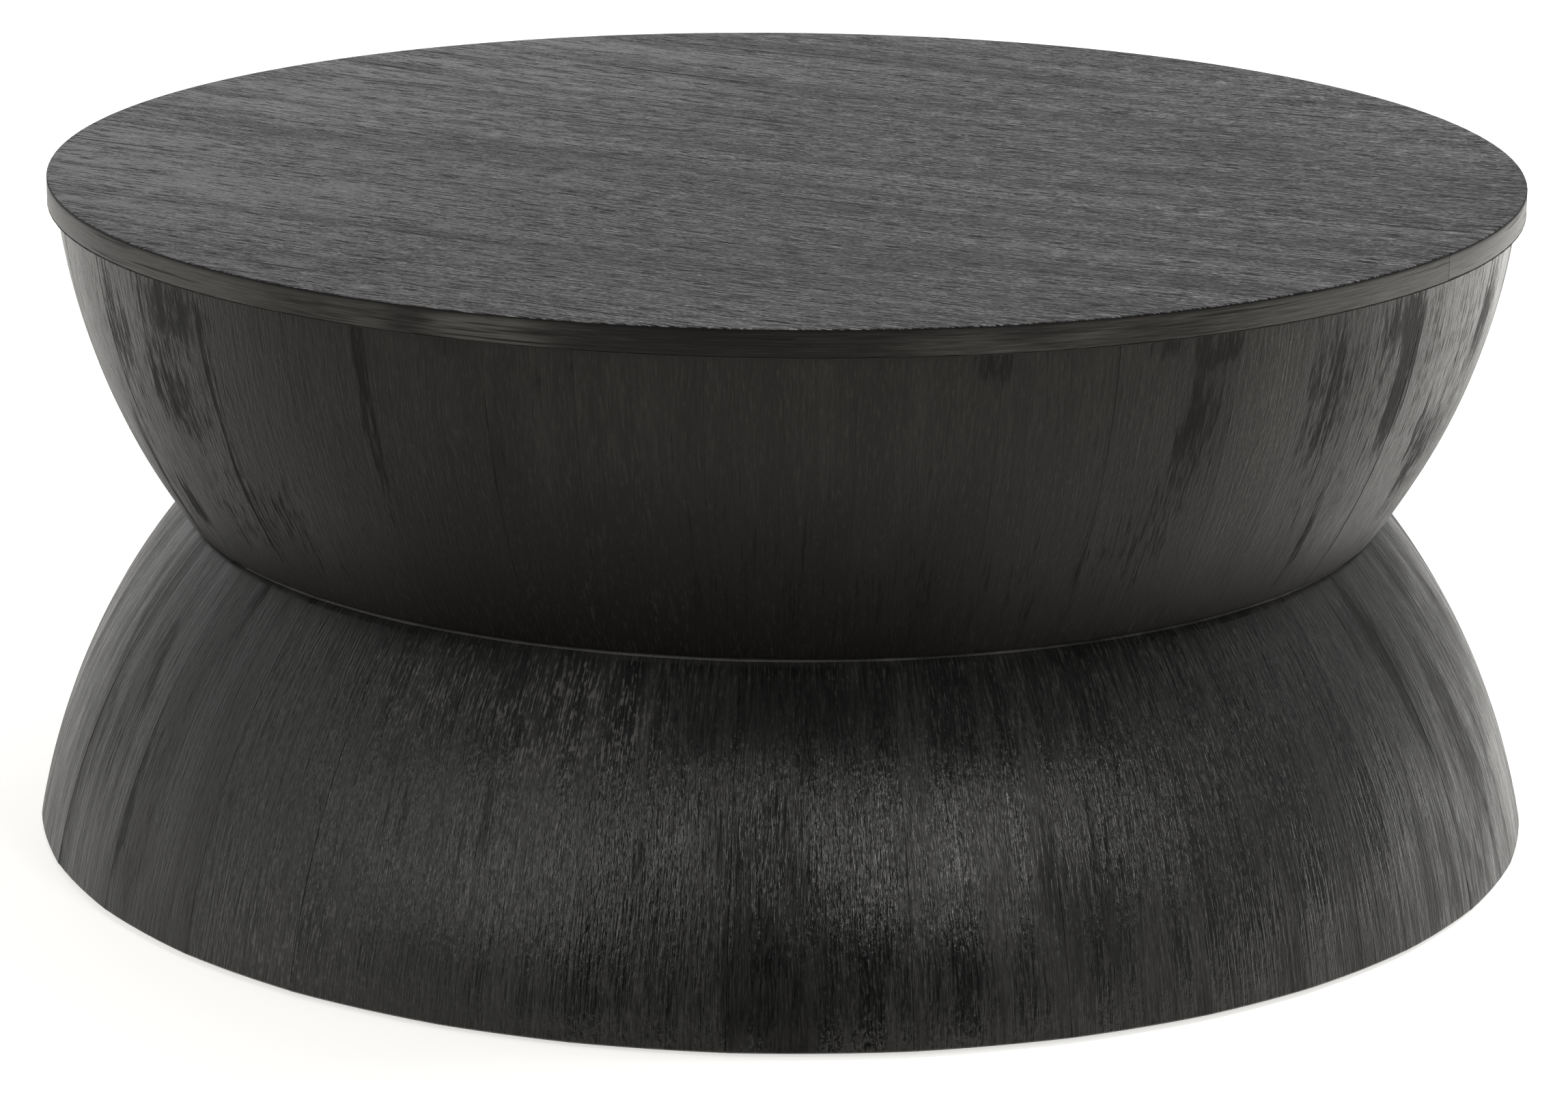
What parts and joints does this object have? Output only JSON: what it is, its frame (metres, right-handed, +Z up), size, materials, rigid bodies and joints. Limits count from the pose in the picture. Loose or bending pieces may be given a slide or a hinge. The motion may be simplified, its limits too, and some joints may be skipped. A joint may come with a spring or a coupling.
{
  "type": "drum table",
  "caption": "Low round coffee table shaped like an hourglass drum: two coopered stave shells, neck to neck, under a veneered round top, all stained black.",
  "frame": {"origin": "on the floor under the middle of the table", "axes": "+Z up, front towards -Y"},
  "size_m": [0.9075, 0.908, 0.4],
  "materials": {
    "lower_stave_wood": "black-stained solid wood, wire-brushed along the grain, satin",
    "upper_stave_wood": "black-brown stained solid wood, wire-brushed along the grain, satin",
    "top_veneer": "grey-black stained open-pored veneer, satin",
    "lipping_wood": "black-stained solid wood, satin",
    "top_board": "raw fibreboard",
    "plywood": "raw birch plywood",
    "zinc_steel": "zinc-plated steel",
    "block_wood": "raw softwood",
    "felt": "dark brown felt"
  },
  "bodies": {
    "root": {"lower_staves_01": "lower_stave_wood", "lower_staves_02": "lower_stave_wood", "lower_staves_03": "lower_stave_wood", "lower_staves_04": "lower_stave_wood", "lower_staves_05": "lower_stave_wood", "lower_staves_06": "lower_stave_wood", "lower_staves_07": "lower_stave_wood", "lower_staves_08": "lower_stave_wood", "lower_staves_09": "lower_stave_wood", "lower_staves_10": "lower_stave_wood", "lower_staves_11": "lower_stave_wood", "lower_staves_12": "lower_stave_wood", "lower_staves_13": "lower_stave_wood", "lower_staves_14": "lower_stave_wood", "lower_staves_15": "lower_stave_wood", "lower_staves_16": "lower_stave_wood", "upper_staves_01": "upper_stave_wood", "upper_staves_02": "upper_stave_wood", "upper_staves_03": "upper_stave_wood", "upper_staves_04": "upper_stave_wood", "upper_staves_05": "upper_stave_wood", "upper_staves_06": "upper_stave_wood", "upper_staves_07": "upper_stave_wood", "upper_staves_08": "upper_stave_wood", "upper_staves_09": "upper_stave_wood", "upper_staves_10": "upper_stave_wood", "upper_staves_11": "upper_stave_wood", "upper_staves_12": "upper_stave_wood", "upper_staves_13": "upper_stave_wood", "upper_staves_14": "upper_stave_wood", "upper_staves_15": "upper_stave_wood", "upper_staves_16": "upper_stave_wood", "upper_staves_17": "upper_stave_wood", "upper_staves_18": "upper_stave_wood", "lower_waist_plate": "plywood", "upper_waist_plate": "plywood", "waist_bolts": "zinc_steel", "waist_nuts": "zinc_steel", "top_face_veneer": "top_veneer", "top_core": "top_board", "top_backing_veneer": "top_board", "top_lipping_01": "lipping_wood", "top_lipping_02": "lipping_wood", "glue_block_01": "block_wood", "glue_block_02": "block_wood", "glue_block_03": "block_wood", "glue_block_04": "block_wood", "glue_block_05": "block_wood", "glue_block_06": "block_wood", "floor_pads": "felt"}
  },
  "joints": []
}
